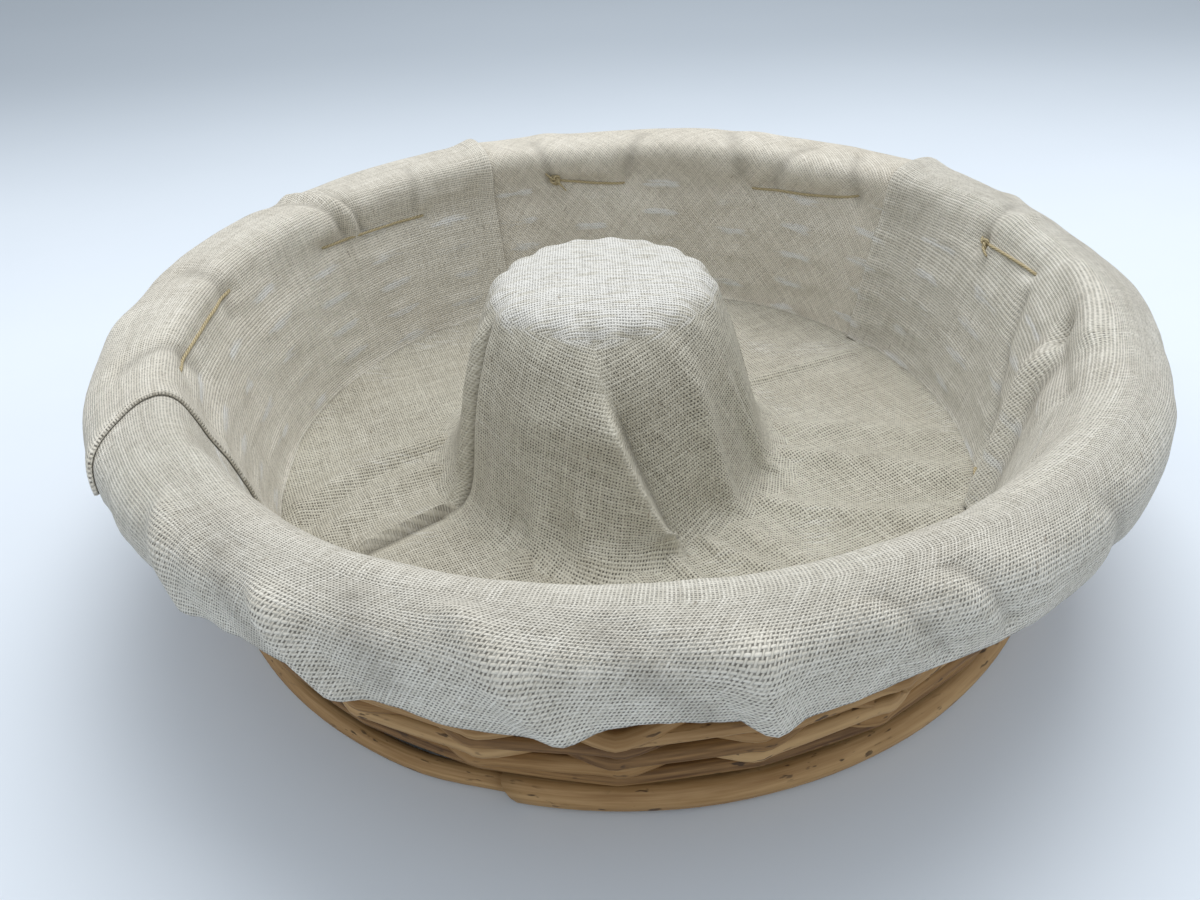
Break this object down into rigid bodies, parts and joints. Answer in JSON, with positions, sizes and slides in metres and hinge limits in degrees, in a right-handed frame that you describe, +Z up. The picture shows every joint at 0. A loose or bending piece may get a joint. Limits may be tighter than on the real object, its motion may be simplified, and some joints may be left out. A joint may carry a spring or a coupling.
{
  "type": "proofing basket",
  "caption": "Round crown-shaped willow proofing basket with a cone in the middle, lined with natural linen folded over the rim and held with twine stitches.",
  "frame": {"origin": "on the table, under the middle of the basket", "axes": "+Z up; -Y towards the viewer of the picture; +X to the right"},
  "size_m": [0.296, 0.2966, 0.075],
  "materials": {
    "willow": "peeled willow rods, honey tan, bare and satin",
    "linen": "natural unbleached linen canvas, plain weave, matt",
    "twine": "yellowish linen twine"
  },
  "bodies": {
    "root": {"side_stake_1": "willow", "side_stake_2": "willow", "side_stake_3": "willow", "side_stake_4": "willow", "side_stake_5": "willow", "side_stake_6": "willow", "side_stake_7": "willow", "side_stake_8": "willow", "side_stake_9": "willow", "side_stake_10": "willow", "side_stake_11": "willow", "side_stake_12": "willow", "side_stake_13": "willow", "side_stake_14": "willow", "side_stake_15": "willow", "side_stake_16": "willow", "side_stake_17": "willow", "side_stake_18": "willow", "side_stake_19": "willow", "side_stake_20": "willow", "side_stake_21": "willow", "side_stake_22": "willow", "side_stake_23": "willow", "side_stake_24": "willow", "side_stake_25": "willow", "side_weaver_1": "willow", "side_weaver_2": "willow", "side_weaver_3": "willow", "foot_rod": "willow", "base_stick_1": "willow", "base_stick_2": "willow", "base_stick_3": "willow", "base_stick_4": "willow", "base_stick_5": "willow", "base_stick_6": "willow", "base_weaver_1": "willow", "base_weaver_2": "willow", "cone_border": "willow", "cone_weaver": "willow", "cone_stake_1": "willow", "cone_stake_2": "willow", "cone_stake_3": "willow", "cone_stake_4": "willow", "cone_stake_5": "willow", "cone_stake_6": "willow", "cone_stake_7": "willow", "lining_wall_front": "linen", "lining_wall_back": "linen", "lining_wall_left": "linen", "lining_floor": "linen", "cone_hood": "linen", "twine_stitch_1": "twine", "twine_stitch_2": "twine", "twine_stitch_3": "twine", "twine_stitch_4": "twine", "twine_stitch_5": "twine", "twine_stitch_6": "twine", "twine_stitch_7": "twine", "twine_stitch_8": "twine", "twine_stitch_9": "twine"}
  },
  "joints": []
}
